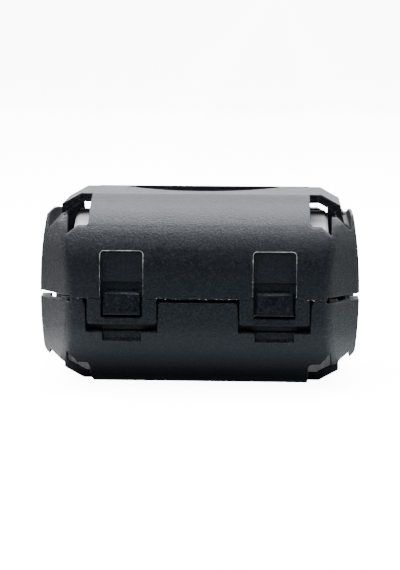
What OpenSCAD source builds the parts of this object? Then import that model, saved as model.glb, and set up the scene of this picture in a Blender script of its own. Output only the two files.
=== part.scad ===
// Clip-on ferrite core for a cable: two hinged case halves, each holding half of a ferrite cylinder,
// held shut by two flexing loops that catch under hooks.
// +X runs along the cable, +Z points up, and the origin is the centre of the cable passage.

/* [Case] */
// Length along the cable
case_l = 36; // [34:0.5:46]
// Depth from the front wall to the back wall
case_w = 22.4; // [21.6:0.2:28]
// Height of both halves together
case_h = 21.8; // [21.4:0.2:27]
// Thickness of the long walls
wall = 1; // [0.8:0.05:1.2]
// Thickness of the end plates
end_wall = 1.1; // [0.9:0.05:1.4]
// How far a rounded shoulder reaches in from the front or back wall
shoulder_w = 7; // [5:0.1:8]
// How far a rounded shoulder reaches down from the flat top or bottom
shoulder_h = 8.2; // [8.1:0.1:8.8]

/* [Ends] */
// Length of the 45 degree chamfer at each corner in plan
chamfer_l = 3.5; // [2.5:0.1:3.8]
// Distance from the end of the case to the crease where the long walls stop
cap_l = 3.25; // [3:0.05:3.5]
// Distance from the end of the case to the start of the slope
slope_l = 4.3; // [3.5:0.1:5]
// Slope of the top and bottom towards the ends, in degrees
slope = 29; // [20:1:35]
// Radius of the slight bulge of the end plates
end_r = 54; // [40:1:90]
// Radius of the upright edges between the long walls and the corner panels
fillet_r = 2.2; // [1.2:0.1:2.6]
// Radius that leans the corner panels inwards
lean_r = 14; // [12:0.5:20]
// Height above the parting plane where the lean starts
lean_z = 3.5; // [2:0.1:5]
// Radius of the cable hole
hole_r = 5.5; // [3:0.1:5.6]
// Gap above the parting plane at the ends, on the upper half
upper_relief = 0.3; // [0.1:0.02:0.5]
// Gap below the parting plane at the ends, on the lower half
lower_relief = 0.38; // [0.1:0.02:0.5]

/* [Corner windows] */
// Distance from the end of the case to the inner edge of a window
window_l = 5.65; // [5:0.05:6.5]
// Corner radius of a window
window_r = 0.5; // [0.2:0.05:0.8]
// Half width of the strip left between the windows, upper half
window_y_up = 3.9; // [3:0.1:5]
// Half width of the strip left between the windows, lower half
window_y_low = 3; // [2.5:0.1:5]
// Distance from the end of the case to the outer end of the sloped strip
strip_l = 2.05; // [1.9:0.05:2.3]
// Distance from the end of the case to the inside of the free rim
rim_l = 1.1; // [1:0.02:1.4]
// Radius that rounds the foot of the lower rim
foot_r = 1.3; // [0.8:0.1:2]
// Radius of the arc that lowers the upper rim towards the hinge
rim_r = 55; // [40:1:90]

/* [Core] */
// Outer radius of the ferrite
core_r = 8.6; // [8.2:0.05:9.3]
// Bore radius of the ferrite
core_bore_r = 5.9; // [3.4:0.1:6.4]
// Length of the ferrite
core_l = 29; // [24:0.2:29.2]
// Chamfer at the ends of the ferrite
core_chamfer = 0.35; // [0.1:0.05:0.6]
// Clearance between the ferrite and its seat
core_gap = 0.1; // [0.05:0.01:0.2]

/* [Latches] */
// Distance from the middle of the case to each latch
latch_x = 8.5; // [7.2:0.1:8.6]
// Outer width of a loop
loop_w = 7.8; // [7:0.1:8.2]
// Width of the window in a loop
loop_window_w = 4.6; // [4.4:0.05:5]
// How far a loop hangs below the parting plane
loop_h = 2.9; // [2.6:0.05:3.1]
// Height of the bar at the foot of a loop
bar_h = 0.75; // [0.5:0.05:0.9]
// Thickness of a loop
loop_t = 0.95; // [0.7:0.05:0.95]
// Width of a hook
hook_w = 4.06; // [3.6:0.02:4.1]
// How far a hook rises above the parting plane
hook_top = 0.7; // [0.4:0.05:1]
// How far the nose of a hook stands out of the wall
hook_proud = 0.15; // [0:0.05:0.3]
// Depth of the pocket that a loop hangs in
pocket_d = 1.2; // [1.15:0.05:1.3]
// Clearance round a loop in its pocket
pocket_gap = 0.2; // [0.15:0.05:0.4]
// Width of the channel above a hook
channel_w = 4.76; // [4.6:0.02:5]
// Height of the top of the channel above the parting plane
channel_top = 5.3; // [4.5:0.1:5.6]
// Height of the step in the channel
channel_step = 1.85; // [1.4:0.05:2.2]
// Gap below the parting plane between the latches
middle_relief = 0.42; // [0.1:0.02:0.5]

/* [Hinge] */
// Distance from the middle of the case to each hinge strap
strap_x = 8.5; // [6:0.1:9.5]
// Width of a strap
strap_w = 5; // [3:0.1:6]
// Thickness of a strap
strap_t = 0.35; // [0.25:0.05:0.5]
// Inner radius of the bend of a strap
strap_r = 0.9; // [0.7:0.05:1.2]

/* [Label recess] */
// Width of the half-moon recess on the top
moon_w = 17.6; // [12:0.1:19]
// Radius of its curved edge
moon_r = 11; // [10:0.1:14]
// Its depth
moon_d = 0.8; // [0.4:0.05:0.9]
// Depth of the rectangular label field round it
field_d = 0.12; // [0.05:0.01:0.2]

/* [Hidden] */
$fn = 96;
arc_steps = 12;
past = 1;

half_l = case_l / 2;
half_w = case_w / 2;
half_h = case_h / 2;
crease_x = half_l - cap_l;
window_x = half_l - window_l;
strip_x = half_l - strip_l;
rim_x = half_l - rim_l;
flat_y = half_w - shoulder_w;
moon_y = flat_y - 0.25;
field_y = -2.2;

// the shoulder's arc meets the wall smoothly and the flat top at a slight angle
shoulder_z = half_h - shoulder_h;
shoulder_r = (shoulder_w * shoulder_w + shoulder_h * shoulder_h) / (2 * shoulder_w);
shoulder_y = half_w - shoulder_r;

// the corner windows, as distances below the flat top and above the flat bottom:
// [sill, foot of the slit, top of the panel beside the slit, notch beside the rim]
window_drops_up = [3.1, 3.9, 2, 3.45];
window_drops_low = [3.3, 4.7, 3.3, 4.5];
panel_run = 0.5;
notch_run = 0.08;
rim_drop_low = 3.8;

saddle_x = 11;
saddle_t = 1.2;
stop_t = 0.9;
stop_gap = 0.15;
stop_y = core_r - 0.9;
rim_y = -5.4;
rim_drop_up = 1.82;
stop_z = 3.2;

pocket_w = loop_w + 2 * pocket_gap;
pocket_flare = 0.35;
pocket_bottom = -loop_h - 0.86;
recess_w = 4.4;
recess_bottom = -4.78;
recess_d = 0.9;
ledge_z = -loop_h + bar_h + 0.35;
channel_d = 0.75;
channel_r = 0.4;
hook_back = half_w - 1.05;
hook_gap_y = 1.25;
boss_side = 0.75;
boss_low = 5.7;
boss_up = 6.2;

// extrudes a profile drawn in Y and Z along X
module along_x(length) {
    rotate([90, 0, 90]) linear_extrude(length, center = true) children();
}

// extrudes a profile drawn in X and Z along Y, from y0 to y1
module along_y(y0, y1) {
    translate([0, y1, 0]) rotate([90, 0, 0]) linear_extrude(y1 - y0) children();
}

// a box given by its lowest and highest corners
module span(low, high) {
    translate(low) cube(high - low);
}

// the same thing at the left and right
module both_sides() {
    for (side = [-1, 1]) scale_x(side) children();
}

module scale_x(side) {
    mirror([side < 0 ? 1 : 0, 0, 0]) children();
}

function turned(points, sy, sz) = [for (p = points) [sy * p[0], sz * p[1]]];
function reversed(points) = [for (i = [len(points) - 1:-1:0]) points[i]];

// one shoulder of the long walls, from the wall to the flat top
function shoulder(inset) =
    let (r = shoulder_r - inset, last = asin((half_h - inset - shoulder_z) / r))
    [for (i = [0:arc_steps])
        [shoulder_y + r * cos(last * i / arc_steps), shoulder_z + r * sin(last * i / arc_steps)]];

// section across the cable, in Y and Z
function section(inset) =
    let (s = shoulder(inset))
    concat(s, reversed(turned(s, -1, 1)), turned(s, -1, -1), reversed(turned(s, 1, -1)));

// distance of the long walls from the middle, against height
function wall_reach(z) =
    shoulder_y + sqrt(pow(shoulder_r, 2) - pow(max(0, min(abs(z), half_h) - shoulder_z), 2));

// distance of the corner panels from the middle, square to them, against height
function panel_reach(z) =
    (half_l - chamfer_l + half_w) / sqrt(2)
    - lean_r + sqrt(lean_r * lean_r - pow(max(0, abs(z) - lean_z), 2));

// reach in between, where a fillet turns from a long wall (0 degrees) to a panel (45 degrees)
function fillet_reach(angle, z) =
    let (y = wall_reach(z) - fillet_r, x = (panel_reach(z) - fillet_r) * sqrt(2) - y)
    x * sin(angle) + y * cos(angle) + fillet_r;

// heights at which these surfaces are divided, the same as on the shoulders
function levels() =
    concat([for (p = shoulder(0)) p[1]], [half_h + past]);

// two opposite panels or strips of the fillets, as a bar across the whole case
module corner_bar(angle, inset) {
    edge = [for (z = levels()) [fillet_reach(abs(angle), z) - inset, z]];
    half = concat(turned(reversed(edge), 1, -1), edge);
    rotate([0, 0, -angle]) along_x(2 * case_l) polygon(concat(half, turned(half, -1, -1)));
}

// outline along the cable, in X and Z
module side_outline(inset, end_inset) {
    flat_x = half_l - slope_l - inset * tan(slope / 2);
    top = half_h - inset;
    low = top - (half_l - flat_x) * tan(slope);
    intersection() {
        end_arc(1, end_inset);
        end_arc(-1, end_inset);
        polygon([[flat_x, top], [half_l, low], [half_l, -low], [flat_x, -top],
                 [-flat_x, -top], [-half_l, -low], [-half_l, low], [-flat_x, top]]);
    }
}

module end_arc(side, inset) {
    translate([side * (half_l - end_r), 0]) circle(end_r - inset, $fn = 180);
}

// the form of the closed case, or of its hollow where the insets are the wall thicknesses
module case_form(inset, end_inset) {
    w = half_w - inset;
    intersection() {
        along_y(-half_w, half_w) side_outline(inset, end_inset);
        intersection_for(angle = [-45, -30, -15, 15, 30, 45]) corner_bar(angle, inset);
        union() {
            along_x(2 * crease_x) polygon(section(inset));
            both_sides() span([crease_x, -w, -half_h], [half_l, w, half_h]);
        }
    }
}

// ribs inside both halves: saddles and end stops for the ferrite, and the backs of the latch
// pockets and of the label recess
module inner_ribs() {
    difference() {
        intersection() {
            case_form(0, 0);
            union() {
                both_sides() {
                    span([saddle_x - saddle_t / 2, -half_w, -half_h],
                         [saddle_x + saddle_t / 2, half_w, half_h]);
                    for (y = [-1, 1])
                        scale_y(y) span([core_l / 2 + stop_gap, stop_y, -stop_z],
                                        [core_l / 2 + stop_gap + stop_t, half_w, stop_z]);
                    span([latch_x - pocket_w / 2 - boss_side, -half_w, -boss_low],
                         [latch_x + pocket_w / 2 + boss_side, -half_w + pocket_d + wall, 0]);
                    span([latch_x - channel_w / 2 - boss_side, -half_w, 0],
                         [latch_x + channel_w / 2 + boss_side, -half_w + hook_gap_y + wall, boss_up]);
                }
                span([-moon_w / 2 - boss_side, -1, half_h - moon_d - wall],
                     [moon_w / 2 + boss_side, flat_y + 0.4, half_h]);
            }
        }
        rotate([0, 90, 0]) cylinder(h = core_l + 2 * stop_gap, r = core_r + core_gap, center = true);
    }
}

module scale_y(side) {
    mirror([0, side < 0 ? 1 : 0, 0]) children();
}

// everything both halves share, before they are parted
module case_body() {
    difference() {
        union() {
            difference() {
                case_form(0, 0);
                case_form(wall, end_wall);
            }
            inner_ribs();
        }
        rotate([0, 90, 0]) cylinder(h = case_l + 2 * past, r = hole_r, center = true);
    }
}

// outline of a corner window in X and Z, from the drops below the flat top
function window_outline(drops) =
    let (sill = half_h - drops[0], foot = half_h - drops[1], panel = half_h - drops[2],
         notch = half_h - drops[3], top = half_h + past, run = panel - notch)
    concat([[window_x, top]],
           [for (i = [0:4]) [window_x + window_r - window_r * cos(22.5 * i),
                             sill + window_r - window_r * sin(22.5 * i)]],
           [[crease_x - 1.1, sill], [crease_x, foot], [crease_x, panel],
            [crease_x + panel_run, panel], [rim_x - notch_run, notch], [rim_x, notch],
            [rim_x, top]]);

// cuts the four corner windows of one half, and the slots between its strips and its end plates
module corner_windows(drops, strip_half_w) {
    both_sides() {
        for (y = [-1, 1])
            scale_y(y) along_y(strip_half_w, half_w + past) polygon(window_outline(drops));
        span([strip_x, -strip_half_w - past, half_h - drops[3]],
             [rim_x, strip_half_w + past, half_h + past]);
    }
}

// gap at the parting plane round both ends
module end_relief(height) {
    both_sides() span([half_l - chamfer_l - 0.3, -half_w - past, -past],
                      [half_l + past, half_w + past, height]);
}

module lower_shell() {
    color("#2a2e32") {
        difference() {
            case_body();
            span([-case_l, -case_w, 0], [case_l, case_w, case_h]);
            mirror([0, 0, 1]) {
                corner_windows(window_drops_low, window_y_low);
                end_relief(lower_relief);
                rounded_rim();
            }
            both_sides() latch_pocket();
            span([-latch_x + loop_w / 2, -half_w - past, -middle_relief],
                 [latch_x - loop_w / 2, -half_w + wall + 0.3, past]);
        }
        both_sides() hook();
    }
}

// trims the lower rims and rounds them into the end plates
module rounded_rim() {
    x = half_l - 0.3 - foot_r;
    z = half_h - rim_drop_low - foot_r;
    arc = [for (a = [75:-15:0]) [x + foot_r * cos(a), z + foot_r * sin(a)]];
    both_sides() along_y(-half_w - past, half_w + past)
        polygon(concat([[arc[0][0], half_h + past]], arc,
                       [[half_l + past, z], [half_l + past, half_h + past]]));
}

// pocket for a loop, with a deeper groove below the bar
module latch_pocket() {
    w = pocket_w / 2;
    translate([latch_x, 0, 0]) {
        along_y(-half_w - past, -half_w + pocket_d)
            polygon([[-w + 0.1, pocket_bottom], [w - 0.1, pocket_bottom], [w, -0.6],
                     [w + pocket_flare, 0], [w + pocket_flare, past], [-w - pocket_flare, past],
                     [-w - pocket_flare, 0], [-w, -0.6]]);
        span([-recess_w / 2, -half_w - past, recess_bottom],
             [recess_w / 2, -half_w + recess_d, pocket_bottom + 0.1]);
    }
}

// wedge that a loop snaps over: a slope, a nose and a ledge below it
module hook() {
    nose = half_w + hook_proud;
    r = 0.35;
    translate([latch_x, 0, 0]) intersection() {
        along_x(hook_w)
            polygon(concat([[-half_w + pocket_d + 0.3, ledge_z], [-nose, ledge_z],
                            [-nose, ledge_z + 0.3]],
                           [for (i = [0:5]) [-half_w + 0.75 - r * cos(10 + 16 * i),
                                             hook_top - r + r * sin(10 + 16 * i)]],
                           [[-hook_back, hook_top], [-hook_back, -0.15],
                            [-half_w + pocket_d + 0.3, -0.15]]));
        along_y(-nose - past, 0) union() {
            translate([-hook_w / 2, ledge_z - past])
                square([hook_w, hook_top - channel_r - ledge_z + past]);
            translate([-hook_w / 2 + channel_r, ledge_z])
                square([hook_w - 2 * channel_r, hook_top - ledge_z]);
            for (x = [-1, 1])
                translate([x * (hook_w / 2 - channel_r), hook_top - channel_r]) circle(channel_r);
        }
    }
}

module upper_shell() {
    color("#2a2e32") difference() {
        case_body();
        span([-case_l, -case_w, -case_h], [case_l, case_w, 0]);
        corner_windows(window_drops_up, window_y_up);
        end_relief(upper_relief);
        rim_arc();
        both_sides() latch_channel();
        label_recess();
    }
}

// lowers the upper rims along an arc that is highest near the latches
module rim_arc() {
    both_sides() difference() {
        span([rim_x - notch_run - 0.2, -half_w - past, half_h - rim_drop_up - 3],
             [half_l + past, half_w + past, half_h + past]);
        translate([0, rim_y, half_h - rim_drop_up - rim_r])
            rotate([0, 90, 0]) cylinder(h = case_l, r = rim_r, $fn = 360);
    }
}

// channel above a hook: a shallow part with rounded corners, and a deep part that takes the hook
module latch_channel() {
    w = channel_w / 2;
    translate([latch_x, 0, 0]) {
        along_y(-half_w - past, -half_w + channel_d) union() {
            translate([-w, channel_step - 0.1])
                square([channel_w, channel_top - channel_r - channel_step + 0.1]);
            translate([-w + channel_r, channel_step])
                square([channel_w - 2 * channel_r, channel_top - channel_step]);
            for (x = [-1, 1]) translate([x * (w - channel_r), channel_top - channel_r]) circle(channel_r);
        }
        span([-w, -half_w - past, -past], [w, -half_w + hook_gap_y, channel_step]);
    }
}

// half-moon recess inside a shallow rectangular field
module label_recess() {
    translate([0, 0, half_h - field_d])
        linear_extrude(past) translate([-moon_w / 2, field_y]) square([moon_w, moon_y - field_y]);
    translate([0, 0, half_h - moon_d]) linear_extrude(past + moon_d) intersection() {
        translate([0, moon_r - 0.15]) circle(moon_r, $fn = 180);
        translate([-moon_w / 2, -1]) square([moon_w, moon_y + 1]);
    }
}

// half of the ferrite cylinder, above the parting plane
module half_core() {
    c = core_chamfer;
    l = core_l / 2;
    color("#8c8f93") rotate([90, 0, 90]) rotate_extrude(angle = 180)
        polygon([[core_bore_r, -l + c], [core_bore_r + c, -l], [core_r - c, -l], [core_r, -l + c],
                 [core_r, l - c], [core_r - c, l], [core_bore_r + c, l], [core_bore_r, l - c]]);
}

module upper_core() {
    half_core();
}

module lower_core() {
    mirror([0, 0, 1]) half_core();
}

// U-shaped loop that hangs from the upper half
module latch_loop(side) {
    w = loop_w / 2;
    r = 0.25;
    color("#2a2e32") translate([side * latch_x, 0, 0]) along_y(-half_w, -half_w + loop_t)
        difference() {
            polygon([[-w, 0], [-w, -loop_h + r], [-w + r, -loop_h], [w - r, -loop_h],
                     [w, -loop_h + r], [w, 0]]);
            translate([-loop_window_w / 2, -loop_h + bar_h]) square([loop_window_w, loop_h]);
        }
}

module latch_loop_left() {
    latch_loop(-1);
}

module latch_loop_right() {
    latch_loop(1);
}

// thin strap bent round the back of the parting line
module hinge_strap(side) {
    color("#2a2e32") translate([side * strap_x, half_w, 0]) intersection() {
        along_x(strap_w) difference() {
            circle(strap_r + strap_t);
            circle(strap_r);
        }
        span([-strap_w, 0, -case_h], [strap_w, case_w, case_h]);
    }
}

module hinge_strap_left() {
    hinge_strap(-1);
}

module hinge_strap_right() {
    hinge_strap(1);
}

lower_shell();
upper_shell();
lower_core();
upper_core();
latch_loop_left();
latch_loop_right();
hinge_strap_left();
hinge_strap_right();
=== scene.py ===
"""Clip-on ferrite core for a cable: finishes, soft edges, hinge straps, moulding flash and studio.

Lengths are in metres. +X runs along the cable, the latches are at -Y, and +Z is up.
"""

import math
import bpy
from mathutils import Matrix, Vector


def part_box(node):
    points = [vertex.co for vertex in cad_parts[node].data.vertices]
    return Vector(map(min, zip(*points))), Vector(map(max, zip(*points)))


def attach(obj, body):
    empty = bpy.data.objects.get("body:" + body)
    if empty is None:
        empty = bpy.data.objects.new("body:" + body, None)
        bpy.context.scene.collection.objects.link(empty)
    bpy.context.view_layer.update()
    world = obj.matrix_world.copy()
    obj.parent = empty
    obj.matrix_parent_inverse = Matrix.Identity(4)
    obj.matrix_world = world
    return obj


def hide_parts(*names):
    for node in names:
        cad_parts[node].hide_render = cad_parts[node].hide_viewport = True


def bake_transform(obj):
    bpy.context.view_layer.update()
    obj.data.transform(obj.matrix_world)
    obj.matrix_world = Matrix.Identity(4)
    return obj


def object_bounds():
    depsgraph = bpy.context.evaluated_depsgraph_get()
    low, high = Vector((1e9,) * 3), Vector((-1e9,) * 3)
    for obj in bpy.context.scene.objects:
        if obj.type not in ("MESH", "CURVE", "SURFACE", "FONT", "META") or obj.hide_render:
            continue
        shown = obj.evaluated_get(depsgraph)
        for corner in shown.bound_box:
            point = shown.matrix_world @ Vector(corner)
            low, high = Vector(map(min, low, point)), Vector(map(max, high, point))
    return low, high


bl_info = {
    "name": "Clip-on ferrite core",
    "version": (1, 0, 0),
    "blender": (4, 5, 0),
    "location": "3D View > Sidebar > Ferrite core",
    "description": "Hinged plastic case with two latches round a split ferrite cylinder",
    "category": "Object",
}

import bmesh
import bpy
from bpy.props import FloatProperty, FloatVectorProperty, IntProperty, PointerProperty
from mathutils import Matrix, Vector

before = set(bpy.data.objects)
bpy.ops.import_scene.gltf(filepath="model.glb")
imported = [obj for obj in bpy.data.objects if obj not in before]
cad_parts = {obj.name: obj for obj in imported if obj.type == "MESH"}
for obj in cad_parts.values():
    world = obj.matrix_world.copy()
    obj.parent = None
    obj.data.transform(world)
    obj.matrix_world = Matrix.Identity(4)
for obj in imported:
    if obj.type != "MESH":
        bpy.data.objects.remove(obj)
CAD_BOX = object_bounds()

MM = 0.001
LATCH_NODES = {"latch_loop_left": "latch_left", "latch_loop_right": "latch_right"}
STRAP_NODES = ("hinge_strap_left", "hinge_strap_right")

# edges steeper than the first angle are rounded, and those steeper than the second stay sharp
BEVEL_ANGLE = math.radians(32)
SHARP_ANGLE = math.radians(50)
STRAP_SHARP_ANGLE = math.radians(40)
WELD = 0.002 * MM
FLAT_ANGLE = math.radians(0.4)

# in mm from here on: the middle of each latch, and where the plastic has drawn lines
LATCH_X = 8.5
DRAWN_HALF_WIDTH = 2.3
DRAWN_FRONT_OF_Y = -9.4
DRAWN_FROM_Z, DRAWN_TO_Z = -4.9, 0.8

# lines along which flash flecks lie: the parting line, and under the hooks on the lower half
FLASH_LINES = {
    "upper": [
        [(-13.9, -11.19, 0.03), (-12.5, -11.21, 0.03)],
        [(-4.3, -11.21, 0.03), (4.3, -11.21, 0.03)],
        [(12.5, -11.21, 0.03), (13.9, -11.19, 0.03)],
    ],
    "lower": [
        [(-10.4, -11.28, -1.75), (-6.6, -11.28, -1.75)],
        [(6.6, -11.28, -1.75), (10.4, -11.28, -1.75)],
        [(-14.2, -11.1, -0.4), (-12.9, -11.2, -0.02)],
        [(12.9, -11.2, -0.02), (14.2, -11.1, -0.4)],
    ],
}
FIRST_FLASH_SEED = 11

# the edge of a latch channel, where a pale bead paints a highlight: half width, top, corner radius
# and lower end
HIGHLIGHT_HALF, HIGHLIGHT_TOP, HIGHLIGHT_CORNER, HIGHLIGHT_BOTTOM = 2.41, 5.34, 0.46, 0.3
HIGHLIGHT_STEPS = 12
HIGHLIGHT_SIDE_STEPS = 10
# the beads down the sides are thinner, so the painted highlight is dimmer there
HIGHLIGHT_SIDE_SHARE = 0.4
IN_FRONT_Y = -20

# in metres again: the setting of its power, the size, the place and the tint of each light
LIGHTS = {
    "top_softbox": ("top_power", (0.5, 0.2), (0, 0.052, 0.22), (0.94, 0.97, 1.03)),
    "front_fill": ("fill_power", (0.3, 0.12), (-0.07, -0.19, 0.21), (1, 1, 1)),
    "left_softbox": ("side_power", (0.2, 0.2), (-0.22, 0.08, 0.12), (1, 1, 1)),
    "right_softbox": ("side_power", (0.2, 0.2), (0.22, 0.08, 0.12), (0.93, 0.97, 1.0)),
    "back_softbox": ("back_power", (0.6, 0.2), (0, 0.4, 0.12), (1, 1, 1)),
}
AMBIENT_TINT = (0.8, 0.97, 1.12, 1)
FLOOR_HALF = 40.0
TABLE_LIFT = 0.05 * MM
CAMERA_LEFT, CAMERA_DOWN = 0.27 * MM, 0.32 * MM
CAMERA_ROLL = math.radians(0.15)
SENSOR_WIDTH = 36


# ---------------------------------------------------------------- settings


class CaseSettings(bpy.types.PropertyGroup):
    """Black moulded plastic of the case halves, latches and straps."""

    color: FloatVectorProperty(
        name="Colour", description="Base colour of the plastic", subtype="COLOR", size=3,
        min=0, max=1, default=(0.0009, 0.0015, 0.0023))
    dust_color: FloatVectorProperty(
        name="Dust colour", description="Colour of rubbed peaks and specks", subtype="COLOR",
        size=3, min=0, max=1, default=(0.036, 0.04, 0.044))
    roughness: FloatProperty(
        name="Roughness", description="Roughness of the spark-eroded surface", default=0.38,
        min=0, max=1)
    grain: FloatProperty(
        name="Grain", description="Width of one grain of the surface", default=0.18 * MM,
        unit="LENGTH", precision=5)
    grain_depth: FloatProperty(
        name="Grain depth", description="Depth of the grain", default=0.088 * MM, unit="LENGTH",
        precision=6)
    edge: FloatProperty(
        name="Edge", description="Width of the rounding on the edges", default=0.09 * MM,
        unit="LENGTH", precision=5)


class CoreSettings(bpy.types.PropertyGroup):
    """Grey sintered ferrite."""

    color: FloatVectorProperty(
        name="Colour", description="Base colour of the ferrite", subtype="COLOR", size=3,
        min=0, max=1, default=(0.76, 0.76, 0.78))
    roughness: FloatProperty(
        name="Roughness", description="Roughness of the ground surface", default=0.6, min=0,
        max=1)
    edge: FloatProperty(
        name="Edge", description="Width of the rounding on the edges", default=0.07 * MM,
        unit="LENGTH", precision=5)


class StrapSettings(bpy.types.PropertyGroup):
    """Film hinge straps."""

    thickness: FloatProperty(
        name="Thickness", description="Thickness of a strap", default=0.35 * MM, unit="LENGTH",
        precision=5)
    steps: IntProperty(
        name="Steps", description="Sections along the bend of a strap", default=24, min=6, max=64)


class FlashAndHighlightSettings(bpy.types.PropertyGroup):
    """Flecks of moulding flash, and the pale bead round the latch channels that paints a highlight
    on their edges.
    """

    spacing: FloatProperty(
        name="Spacing", description="Mean distance between two flecks", default=0.42 * MM,
        unit="LENGTH", precision=5)
    size: FloatProperty(
        name="Size", description="Size of the largest fleck", default=0.055 * MM, unit="LENGTH",
        precision=6)
    # radius of the pale bead that paints a highlight along a channel edge
    highlight_bead: FloatProperty(
        name="Highlight_bead", description="Radius of the lip round a latch channel", default=0.022 * MM,
        unit="LENGTH", precision=6)
    # colour of the flash, also used on the beads that paint a highlight along the channel edges
    color: FloatVectorProperty(
        name="Colour", description="Colour of the torn plastic", subtype="COLOR", size=3, min=0,
        max=1, default=(0.42, 0.43, 0.44))


class StageSettings(bpy.types.PropertyGroup):
    """Floor, lights and camera."""

    distance: FloatProperty(
        name="Camera distance", description="From the camera to the object", default=0.2,
        unit="LENGTH")
    azimuth: FloatProperty(
        name="Azimuth", description="Camera angle round the object", subtype="ANGLE",
        default=math.radians(2.61))
    elevation: FloatProperty(
        name="Elevation", description="Camera angle above the horizon", subtype="ANGLE",
        default=math.radians(9.98))
    lens: FloatProperty(name="Lens", description="Focal length in mm", default=107.75)
    top_power: FloatProperty(
        name="Top light", description="Power of the overhead softbox", default=5.4, unit="POWER")
    side_power: FloatProperty(
        name="Side lights", description="Power of each side softbox", default=0.5, unit="POWER")
    back_power: FloatProperty(
        name="Back light", description="Power of the softbox behind", default=1.2, unit="POWER")
    fill_power: FloatProperty(
        name="Front light", description="Power of the light into the windows", default=3.7,
        unit="POWER")
    floor_glow: FloatProperty(
        name="Floor glow", description="Light from behind the floor", default=10.5, min=0)
    table_front: FloatProperty(
        name="Front glow", description="Glow reflected in the lower front", default=1.85, min=0)
    table_left: FloatProperty(
        name="Left glow", description="Glow reflected in the left panels", default=6.5, min=0)
    table_right: FloatProperty(
        name="Right glow", description="Glow reflected in the right panels", default=4.2, min=0)
    ambient: FloatProperty(
        name="Ambient", description="Brightness of the surroundings", default=0.05, min=0)


class FerriteCoreSettings(bpy.types.PropertyGroup):
    """All settings of the object."""

    case: PointerProperty(type=CaseSettings, name="Case", description="Plastic case")
    core: PointerProperty(type=CoreSettings, name="Core", description="Ferrite halves")
    strap: PointerProperty(type=StrapSettings, name="Straps", description="Film hinge straps")
    flash: PointerProperty(type=FlashAndHighlightSettings, name="Flash", description="Moulding flash")
    stage: PointerProperty(type=StageSettings, name="Stage", description="Floor and light")


def settings():
    """The settings of the object in the open scene."""
    return bpy.context.scene.ferrite_core


# ---------------------------------------------------------------- node trees


class Wire:
    """One output socket of a node tree. Python's operators on it add Math nodes."""

    def __init__(self, graph, socket):
        self.graph = graph
        self.socket = socket

    def math(self, operation, *values):
        return self.graph.node(
            "ShaderNodeMath", {"operation": operation}, dict(enumerate(values)))

    def __add__(self, other):
        return self.math("ADD", self, other)

    __radd__ = __add__

    def __sub__(self, other):
        return self.math("SUBTRACT", self, other)

    def __rsub__(self, other):
        return self.math("SUBTRACT", other, self)

    def __mul__(self, other):
        return self.math("MULTIPLY", self, other)

    __rmul__ = __mul__

    def __gt__(self, other):
        return self.math("GREATER_THAN", self, other)

    def __lt__(self, other):
        return self.math("LESS_THAN", self, other)

    def __abs__(self):
        return self.math("ABSOLUTE", self)


class Graph:
    """A node tree whose nodes are added by one method."""

    def __init__(self, tree):
        self.tree = tree

    def node(self, kind, options=None, inputs=None, output=0):
        """Adds a node, sets its options first and then its sockets, and returns one output."""
        node = self.tree.nodes.new(kind)
        for key, value in (options or {}).items():
            setattr(node, key, value)
        for key, value in (inputs or {}).items():
            self.put(value, node.inputs[key])
        return Wire(self, node.outputs[output])

    def put(self, value, socket):
        if isinstance(value, Wire):
            self.tree.links.new(value.socket, socket)
        else:
            socket.default_value = value


class Finish(Graph):
    """A material with a Principled shader."""

    def __init__(self, name):
        self.material = bpy.data.materials.new(name)
        self.material.use_nodes = True
        super().__init__(self.material.node_tree)
        self.shader = self.tree.nodes["Principled BSDF"]

    def set(self, **inputs):
        for key, value in inputs.items():
            self.put(value, self.shader.inputs[key.replace("_", " ")])

    def place(self):
        """Object coordinates, in metres, as a vector and as X, Y and Z."""
        vector = self.node("ShaderNodeTexCoord", output="Object")
        split = self.tree.nodes.new("ShaderNodeSeparateXYZ")
        self.put(vector, split.inputs[0])
        return vector, [Wire(self, split.outputs[i]) for i in range(3)]

    def noise(self, vector, width, detail, roughness=0.5):
        """Noise whose features are about so wide, in metres."""
        return self.node("ShaderNodeTexNoise", {}, {
            "Vector": vector, "Scale": 1 / width, "Detail": detail, "Roughness": roughness})

    def blend(self, factor, a, b):
        """Colour a where factor is 0 and colour b where it is 1."""
        sockets = {"Factor": factor, 6: a, 7: b}
        return self.node("ShaderNodeMix", {"data_type": "RGBA"}, sockets, output=2)

    def ramp(self, value, low, high):
        """0 below low, 1 above high, and smooth in between."""
        return self.node(
            "ShaderNodeMapRange", {"interpolation_type": "SMOOTHSTEP"},
            {"Value": value, "From Min": low, "From Max": high})

    def stretch(self, vector, scale):
        return self.node("ShaderNodeMapping", {}, {"Vector": vector, "Scale": scale})


def rgba(color):
    return (*color, 1)


def case_plastic():
    """Fine spark-eroded black nylon, with drawn lines on the hooks and below the latches."""
    s = settings().case
    f = Finish("case_plastic")
    vector, (x, y, z) = f.place()

    grain = f.noise(vector, s.grain, 3, 0.62)
    cloud = f.noise(vector, 3.5 * MM, 3, 0.6)
    specks = f.ramp(f.noise(vector, 0.22 * MM, 1), 0.70, 0.76)

    # drawn lines run up and down on the hooks and on the floors round the latches
    across = abs(abs(x) - LATCH_X * MM)
    drawn = ((across < DRAWN_HALF_WIDTH * MM) * (y < DRAWN_FRONT_OF_Y * MM)
             * (z < DRAWN_TO_Z * MM) * (z > DRAWN_FROM_Z * MM))
    lines = f.noise(f.stretch(vector, (1, 1, 0.06)), 0.16 * MM, 2, 0.6)

    speckle = f.ramp(f.noise(vector, 0.18 * MM, 1), 0.45, 0.62)
    worn = f.blend(specks * 0.35 + speckle * 0.15, rgba(s.color), rgba(s.dust_color))
    height = grain * (1 - drawn * 0.7) + lines * drawn * 0.8
    bump = f.node("ShaderNodeBump", {}, {
        "Strength": 1.0, "Distance": s.grain_depth, "Height": height}, output="Normal")
    f.set(Base_Color=worn, Roughness=s.roughness + (cloud - 0.5) * 0.12 - drawn * 0.06,
          Normal=bump, IOR=1.35)
    return f.material


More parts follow.
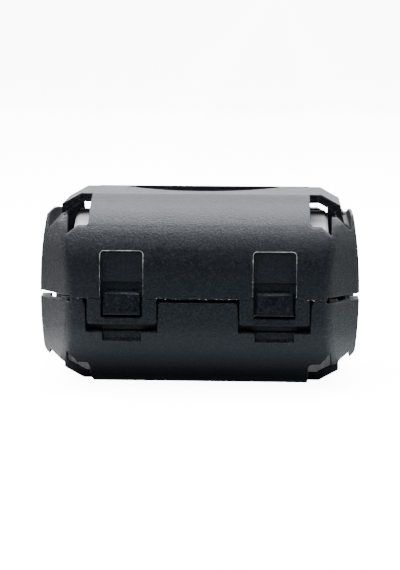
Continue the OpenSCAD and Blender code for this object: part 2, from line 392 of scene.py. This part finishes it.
def ferrite():
    """Ground grey ferrite with fine pores."""
    s = settings().core
    f = Finish("ferrite")
    vector, _ = f.place()
    pores = f.ramp(f.noise(vector, 0.2 * MM, 2), 0.66, 0.74)
    cloud = f.noise(vector, 2.2 * MM, 3, 0.6)
    dark = tuple(0.45 * c for c in s.color)
    light = tuple(1.12 * c for c in s.color)
    tint = f.blend(f.ramp(cloud, 0.3, 0.7), rgba(s.color), rgba(light))
    bump = f.node("ShaderNodeBump", {}, {
        "Strength": 0.35, "Distance": 0.012 * MM,
        "Height": f.noise(vector, 0.12 * MM, 3) - pores * 0.8}, output="Normal")
    f.set(Base_Color=f.blend(pores * 0.6, tint, rgba(dark)),
          Roughness=s.roughness + (cloud - 0.5) * 0.15, Normal=bump, Specular_IOR_Level=0.25)
    return f.material


def torn_plastic():
    """Pale plastic of the flash, and the same pale colour on the beads that paint a highlight
    along the latch channel edges.
    """
    s = settings().flash
    f = Finish("torn_plastic")
    vector, _ = f.place()
    shade = f.noise(vector, 0.5 * MM, 1)
    grey = tuple(0.35 * c for c in s.color)
    f.set(Base_Color=f.blend(f.ramp(shade, 0.35, 0.65), rgba(grey), rgba(s.color)),
          Roughness=0.45)
    return f.material


def pale_floor():
    """White acrylic floor with some light behind it."""
    f = Finish("pale_floor")
    vector, _ = f.place()
    cloud = f.noise(vector, 60 * MM, 2)
    f.set(Base_Color=f.blend(cloud, (0.9, 0.9, 0.9, 1), (0.93, 0.93, 0.93, 1)), Roughness=0.9,
          Emission_Color=(1, 1, 1, 1), Emission_Strength=settings().stage.floor_glow)
    return f.material


def light_table():
    """What the gloss of the object sees of the floor: bright at the sides, dark beneath."""
    s = settings().stage
    f = Finish("light_table")
    _, (x, y, _) = f.place()

    # a strip in front of the case, which fades towards the camera and towards the case
    near = f.ramp(y, -50 * MM, -20 * MM) * (1 - f.ramp(y, -16.5 * MM, -7 * MM))
    front = 0.05 + near * s.table_front

    # a strip beyond each end, which fades outwards and towards the camera
    beside = f.ramp(abs(x), 16 * MM, 20 * MM) * (1 - 0.95 * f.ramp(abs(x), 25 * MM, 52 * MM))
    beside = beside * f.ramp(y, -30 * MM, -8 * MM)
    left = beside * (x < 0) * s.table_left
    right = beside * (x > 0) * s.table_right
    f.set(Base_Color=(0, 0, 0, 1), Roughness=1.0,
          Emission_Color=f.node("ShaderNodeCombineColor", {}, {
              "Red": 0.82 * front + left + 0.92 * right, "Green": 0.97 * front + left + right,
              "Blue": 1.1 * front + left + 1.04 * right}), Emission_Strength=1.0)
    return f.material


MATERIALS = {m.__name__: m for m in (case_plastic, ferrite, torn_plastic, pale_floor, light_table)}


def material(name):
    """The material of that name, made when it is first asked for."""
    return bpy.data.materials.get(name) or MATERIALS[name]()


# ---------------------------------------------------------------- meshes


def add_object(name, mesh, finish=None):
    """A mesh as an object of the scene, with its material if one is named."""
    obj = bpy.data.objects.new(name, mesh)
    bpy.context.scene.collection.objects.link(obj)
    if finish:
        mesh.materials.clear()
        mesh.materials.append(material(finish))
    return obj


def evaluated_mesh(obj):
    """The object's mesh with its modifiers, which are then removed."""
    bpy.context.view_layer.update()
    graph = bpy.context.evaluated_depsgraph_get()
    mesh = bpy.data.meshes.new_from_object(obj.evaluated_get(graph))
    obj.modifiers.clear()
    return mesh


def clean_copy(node):
    """One CAD piece as a closed mesh with flat faces joined and normals outward."""
    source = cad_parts[node]
    bm = bmesh.new()
    bm.from_mesh(source.data)
    bm.transform(source.matrix_world)
    bmesh.ops.remove_doubles(bm, verts=bm.verts, dist=WELD)
    bmesh.ops.dissolve_limit(
        bm, angle_limit=FLAT_ANGLE, verts=bm.verts, edges=bm.edges, delimit=set())
    bmesh.ops.recalc_face_normals(bm, faces=bm.faces)
    mesh = bpy.data.meshes.new(node + "_visual")
    bm.to_mesh(mesh)
    bm.free()
    return mesh


def soft_edges(obj, width):
    """Rounds the edges and smooths what is gently curved."""
    bevel = obj.modifiers.new("edge", "BEVEL")
    bevel.width = width
    bevel.segments = 2
    bevel.limit_method = "ANGLE"
    bevel.angle_limit = BEVEL_ANGLE
    bevel.use_clamp_overlap = False
    bevel.miter_outer = "MITER_ARC"
    obj.data = evaluated_mesh(obj)
    obj.data.shade_smooth()
    obj.data.set_sharp_from_angle(angle=SHARP_ANGLE)
    weighted = obj.modifiers.new("flat faces", "WEIGHTED_NORMAL")
    weighted.keep_sharp = True
    weighted.weight = 100
    obj.data = evaluated_mesh(obj)


def visual_piece(node, body, finish, edge):
    """The finished piece that stands for one CAD node and moves with its body."""
    obj = add_object(node + "_visual", clean_copy(node))
    soft_edges(obj, edge)
    obj.data.materials.clear()
    obj.data.materials.append(material(finish))
    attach(obj, body)
    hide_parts(node)
    return obj


# ---------------------------------------------------------------- geometry nodes


def node_group(name, inputs):
    """An empty Geometry Nodes group with a geometry output and the named inputs."""
    tree = bpy.data.node_groups.new(name, "GeometryNodeTree")
    tree.interface.new_socket("Geometry", in_out="INPUT", socket_type="NodeSocketGeometry")
    tree.interface.new_socket("Geometry", in_out="OUTPUT", socket_type="NodeSocketGeometry")
    for label, kind, default in inputs:
        item = tree.interface.new_socket(label, in_out="INPUT", socket_type="NodeSocket" + kind)
        if default is not None:
            item.default_value = default
    graph = Graph(tree)
    entry = tree.nodes.new("NodeGroupInput")
    wires = {socket.name: Wire(graph, socket) for socket in entry.outputs if socket.name}
    return graph, wires


def close_group(graph, geometry, finish):
    """Ends the tree: real geometry, its material and the output."""
    real = graph.node("GeometryNodeRealizeInstances", {}, {"Geometry": geometry})
    painted = graph.node(
        "GeometryNodeSetMaterial", {}, {"Geometry": real, "Material": material(finish)})
    end = graph.tree.nodes.new("NodeGroupOutput")
    graph.put(painted, end.inputs["Geometry"])
    return graph.tree


def run_group(name, tree, base, values):
    """Applies a group to a mesh and returns the result as a plain mesh object."""
    obj = add_object(name, base)
    modifier = obj.modifiers.new("shape", "NODES")
    modifier.node_group = tree
    for item in tree.interface.items_tree:
        if item.item_type == "SOCKET" and item.in_out == "INPUT" and item.name in values:
            modifier[item.identifier] = values[item.name]
    mesh = evaluated_mesh(obj)
    mesh.name = name
    obj.data = mesh
    return obj


def strap_group():
    """Sweeps a flat section along a path."""
    graph, given = node_group("strap_sweep", [
        ("Width", "Float", 5 * MM), ("Thickness", "Float", 0.35 * MM)])
    path = graph.node("GeometryNodeMeshToCurve", {}, {"Mesh": given["Geometry"]})
    section = graph.node("GeometryNodeCurvePrimitiveQuadrilateral", {}, {
        "Width": given["Width"], "Height": given["Thickness"]})
    band = graph.node("GeometryNodeCurveToMesh", {}, {
        "Curve": path, "Profile Curve": section, "Fill Caps": True})
    return close_group(graph, band, "case_plastic")


def painted_highlight_bead_group():
    """Sweeps a round pale bead along a path, a painted highlight on a channel edge."""
    graph, given = node_group("flash_lip", [("Radius", "Float", 0.03 * MM)])
    path = graph.node("GeometryNodeMeshToCurve", {}, {"Mesh": given["Geometry"]})
    section = graph.node("GeometryNodeCurvePrimitiveCircle", {}, {
        "Resolution": 6, "Radius": given["Radius"]})
    bead = graph.node("GeometryNodeCurveToMesh", {}, {
        "Curve": path, "Profile Curve": section, "Fill Caps": True})
    return close_group(graph, bead, "torn_plastic")


def fleck_group():
    """Scatters small torn flecks along a path."""
    graph, given = node_group("flash_flecks", [
        ("Spacing", "Float", 0.4 * MM), ("Size", "Float", 0.06 * MM),
        ("Spread", "Float", 0.05 * MM), ("Seed", "Int", 7)])
    path = graph.node("GeometryNodeMeshToCurve", {}, {"Mesh": given["Geometry"]})
    points = graph.node("GeometryNodeCurveToPoints", {"mode": "LENGTH"}, {
        "Curve": path, "Length": given["Spacing"]})

    # the flecks are drawn out along X and flat along Z
    def scatter(low, high, offset):
        return graph.node("FunctionNodeRandomValue", {"data_type": "FLOAT_VECTOR"}, {
            0: low, 1: high, "Seed": given["Seed"] + offset})

    shift = graph.node("ShaderNodeVectorMath", {"operation": "SCALE"}, {
        0: scatter((-6, -0.4, -1), (6, 0.4, 1), 1), "Scale": given["Spread"]})
    moved = graph.node("GeometryNodeSetPosition", {}, {"Geometry": points, "Offset": shift})
    fleck = graph.node("GeometryNodeMeshIcoSphere", {}, {
        "Radius": given["Size"], "Subdivisions": 1})
    placed = graph.node("GeometryNodeInstanceOnPoints", {}, {
        "Points": moved, "Instance": fleck,
        "Scale": scatter((0.25, 0.2, 0.15), (1.8, 0.6, 0.8), 2),
        "Rotation": scatter((-0.5, -0.5, -0.6), (0.5, 0.5, 0.6), 3)})
    return close_group(graph, placed, "torn_plastic")


def path_mesh(name, lines):
    """A mesh of open lines through the given points."""
    verts, edges = [], []
    for line in lines:
        start = len(verts)
        verts += [Vector(p) * MM for p in line]
        edges += [(start + i, start + i + 1) for i in range(len(line) - 1)]
    mesh = bpy.data.meshes.new(name)
    mesh.from_pydata(verts, edges, [])
    return mesh


# ---------------------------------------------------------------- operators


class FERRITE_OT_case(bpy.types.Operator):
    """Makes the two halves of the plastic case"""

    bl_idname = "ferrite_core.case"
    bl_label = "Case halves"

    def execute(self, context):
        edge = settings().case.edge
        for node, body in (("lower_shell", "lower"), ("upper_shell", "upper")):
            visual_piece(node, body, "case_plastic", edge)
        return {"FINISHED"}


class FERRITE_OT_core(bpy.types.Operator):
    """Makes the two halves of the ferrite cylinder"""

    bl_idname = "ferrite_core.core"
    bl_label = "Ferrite halves"

    def execute(self, context):
        edge = settings().core.edge
        for node, body in (("lower_core", "lower"), ("upper_core", "upper")):
            visual_piece(node, body, "ferrite", edge)
        return {"FINISHED"}


class FERRITE_OT_latches(bpy.types.Operator):
    """Makes the two latch loops"""

    bl_idname = "ferrite_core.latches"
    bl_label = "Latch loops"

    def execute(self, context):
        for node, body in LATCH_NODES.items():
            visual_piece(node, body, "case_plastic", settings().case.edge)
        return {"FINISHED"}


class FERRITE_OT_straps(bpy.types.Operator):
    """Makes the two bent straps of the film hinge"""

    bl_idname = "ferrite_core.straps"
    bl_label = "Hinge straps"

    def execute(self, context):
        s = settings().strap
        tree = strap_group()
        for node in STRAP_NODES:
            low, high = (Vector(corner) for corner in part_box(node))
            middle = (low + high) / 2
            radius = (high.z - low.z - s.thickness) / 2
            bulge = high.y - low.y - s.thickness / 2
            angles = [math.pi * i / s.steps for i in range(s.steps + 1)]
            bend = [(middle.x / MM, (low.y + bulge * math.sin(a)) / MM, -radius * math.cos(a) / MM)
                    for a in angles]
            obj = run_group(node + "_visual", tree, path_mesh(node + "_path", [bend]),
                            {"Width": high.x - low.x, "Thickness": s.thickness})
            obj.data.shade_smooth()
            obj.data.set_sharp_from_angle(angle=STRAP_SHARP_ANGLE)
            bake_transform(obj)
            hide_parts(node)
        return {"FINISHED"}


def channel_edge(x):
    """X and Z, in mm, of points up one side of the latch channel at x, over its top and down."""
    shoulder = HIGHLIGHT_TOP - HIGHLIGHT_CORNER
    turns = [math.pi * (1 - i / HIGHLIGHT_STEPS) for i in range(HIGHLIGHT_STEPS + 1)]
    over = [(x + math.copysign(HIGHLIGHT_HALF - HIGHLIGHT_CORNER, math.cos(a)) + HIGHLIGHT_CORNER * math.cos(a),
             shoulder + HIGHLIGHT_CORNER * math.sin(a)) for a in turns]
    rise = [HIGHLIGHT_BOTTOM + (shoulder - HIGHLIGHT_BOTTOM) * i / HIGHLIGHT_STEPS for i in range(HIGHLIGHT_STEPS)]
    return ([(x - HIGHLIGHT_HALF, z) for z in rise] + over
            + [(x + HIGHLIGHT_HALF, z) for z in reversed(rise)])


def on_front_wall(piece, line):
    """Points of the front wall of a piece at the given X and Z, in mm."""
    points = []
    for x, z in line:
        start = Vector((x, IN_FRONT_Y, z)) * MM
        hit, place, _, _ = piece.ray_cast(start, Vector((0, 1, 0)))
        if not hit:
            raise RuntimeError("no wall at %.2f, %.2f mm" % (x, z))
        points.append(place / MM)
    return points


class FERRITE_OT_flash_and_highlight(bpy.types.Operator):
    """Scatters moulding flash along the parting line, and lays pale beads on the latch channel
    edges as a painted highlight
    """

    bl_idname = "ferrite_core.flash"
    bl_label = "Moulding flash"

    def execute(self, context):
        s = settings().flash
        tree = fleck_group()
        for seed, (body, lines) in enumerate(FLASH_LINES.items(), FIRST_FLASH_SEED):
            obj = run_group("flash_" + body, tree, path_mesh("flash_path_" + body, lines), {
                "Spacing": s.spacing, "Size": s.size, "Spread": s.size, "Seed": seed})
            if not obj.data.vertices:
                raise RuntimeError("no flash on the " + body + " half")
            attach(obj, body)

        bpy.context.view_layer.update()
        shell = bpy.data.objects["upper_shell_visual"]
        highlight_bead = painted_highlight_bead_group()
        n = HIGHLIGHT_SIDE_STEPS
        edges = [on_front_wall(shell, channel_edge(x)) for x in (-LATCH_X, LATCH_X)]
        tops = [e[n:-n] for e in edges]
        sides = [e[:n + 1] for e in edges] + [e[-n - 1:] for e in edges]
        # a pale bead over the top of each channel and thinner ones down its sides: a painted
        # highlight on the rounded edges
        for part, lines, radius in (
                ("top", tops, s.highlight_bead), ("sides", sides, HIGHLIGHT_SIDE_SHARE * s.highlight_bead)):
            highlight_beads = run_group("flash_lip_" + part, highlight_bead, path_mesh("flash_path_" + part, lines),
                             {"Radius": radius})
            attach(highlight_beads, "upper")
        return {"FINISHED"}


def area_light(name, power, size, place, tint):
    """A softbox that points at the middle of the object."""
    light = bpy.data.lights.new(name, "AREA")
    light.shape = "RECTANGLE"
    light.size, light.size_y = size
    light.energy = power
    light.color = tint
    obj = bpy.data.objects.new(name, light)
    bpy.context.scene.collection.objects.link(obj)
    obj.location = place
    obj.rotation_euler = (-Vector(place)).to_track_quat("-Z", "Y").to_euler()
    return obj


def make_floor():
    """The floor that the camera sees, and the light table that only the gloss sees."""
    ground = CAD_BOX[0][2]
    mesh = bpy.data.meshes.new("floor")
    corners = ((-1, -1), (1, -1), (1, 1), (-1, 1))
    mesh.from_pydata([(x * FLOOR_HALF, y * FLOOR_HALF, ground) for x, y in corners], [],
                     [(0, 1, 2, 3)])
    floor = add_object("floor", mesh, "pale_floor")
    floor.visible_glossy = floor.visible_diffuse = False
    table_mesh = mesh.copy()
    table_mesh.name = "light_table"
    table_mesh.transform(Matrix.Translation((0, 0, TABLE_LIFT)))
    table = add_object("light_table", table_mesh, "light_table")
    table.visible_camera = table.visible_diffuse = table.visible_shadow = False
    return floor, table


def make_surroundings():
    """Dim light from all round, which the camera sees as white."""
    s = settings().stage
    world = bpy.data.worlds.new("studio")
    world.use_nodes = True
    sky = Graph(world.node_tree)
    around = sky.node("ShaderNodeBackground", {}, {"Color": AMBIENT_TINT, "Strength": s.ambient})
    behind = sky.node("ShaderNodeBackground", {}, {
        "Color": (1, 1, 1, 1), "Strength": s.floor_glow})
    seen = sky.node("ShaderNodeLightPath", output="Is Camera Ray")
    mixed = sky.node("ShaderNodeMixShader", {}, {0: seen, 1: around, 2: behind})
    sky.put(mixed, world.node_tree.nodes["World Output"].inputs["Surface"])
    bpy.context.scene.world = world


def make_camera():
    s = settings().stage
    away = Vector((math.cos(s.elevation) * math.sin(s.azimuth),
                   -math.cos(s.elevation) * math.cos(s.azimuth), math.sin(s.elevation)))
    side = Vector((math.cos(s.azimuth), math.sin(s.azimuth), 0))
    up = away.cross(side)
    turn = Matrix((side, up, away)).transposed() @ Matrix.Rotation(CAMERA_ROLL, 3, "Z")
    camera = bpy.data.cameras.new("camera")
    camera.lens = s.lens
    camera.sensor_width = SENSOR_WIDTH
    camera.clip_start = 0.01
    obj = bpy.data.objects.new("camera", camera)
    bpy.context.scene.collection.objects.link(obj)
    place = away * s.distance - side * CAMERA_LEFT - up * CAMERA_DOWN
    obj.matrix_world = Matrix.Translation(place) @ turn.to_4x4()
    bpy.context.scene.camera = obj


class FERRITE_OT_stage(bpy.types.Operator):
    """Makes the floor, the lights and the camera"""

    bl_idname = "ferrite_core.stage"
    bl_label = "Stage"

    def execute(self, context):
        floor, table = make_floor()
        top, fill, left, right, back = (
            area_light(name, getattr(settings().stage, power), size, place, tint)
            for name, (power, size, place, tint) in LIGHTS.items())
        fill.visible_glossy = False
        make_surroundings()
        make_camera()
        return {"FINISHED"}


class FERRITE_PT_panel(bpy.types.Panel):
    """Lists the pieces of the ferrite core"""

    bl_idname = "FERRITE_PT_panel"
    bl_label = "Ferrite core"
    bl_space_type = "VIEW_3D"
    bl_region_type = "UI"
    bl_category = "Ferrite core"

    def draw(self, context):
        values = settings()
        for operator in OPERATORS:
            self.layout.operator(operator.bl_idname)
        for group in (values.case, values.core, values.strap, values.flash, values.stage):
            box = self.layout.box()
            for name in group.__annotations__:
                box.prop(group, name)


SETTINGS = (CaseSettings, CoreSettings, StrapSettings, FlashAndHighlightSettings, StageSettings,
            FerriteCoreSettings)
OPERATORS = (FERRITE_OT_case, FERRITE_OT_core, FERRITE_OT_latches, FERRITE_OT_straps,
             FERRITE_OT_flash_and_highlight, FERRITE_OT_stage)
CLASSES = SETTINGS + OPERATORS + (FERRITE_PT_panel,)


def register():
    for cls in CLASSES:
        bpy.utils.register_class(cls)
    bpy.types.Scene.ferrite_core = PointerProperty(type=FerriteCoreSettings)


def unregister():
    del bpy.types.Scene.ferrite_core
    for cls in reversed(CLASSES):
        bpy.utils.unregister_class(cls)


def main():
    register()
    bpy.ops.ferrite_core.case()
    bpy.ops.ferrite_core.core()
    bpy.ops.ferrite_core.latches()
    bpy.ops.ferrite_core.straps()
    bpy.ops.ferrite_core.flash()
    bpy.ops.ferrite_core.stage()


if __name__ == "__main__":
    main()
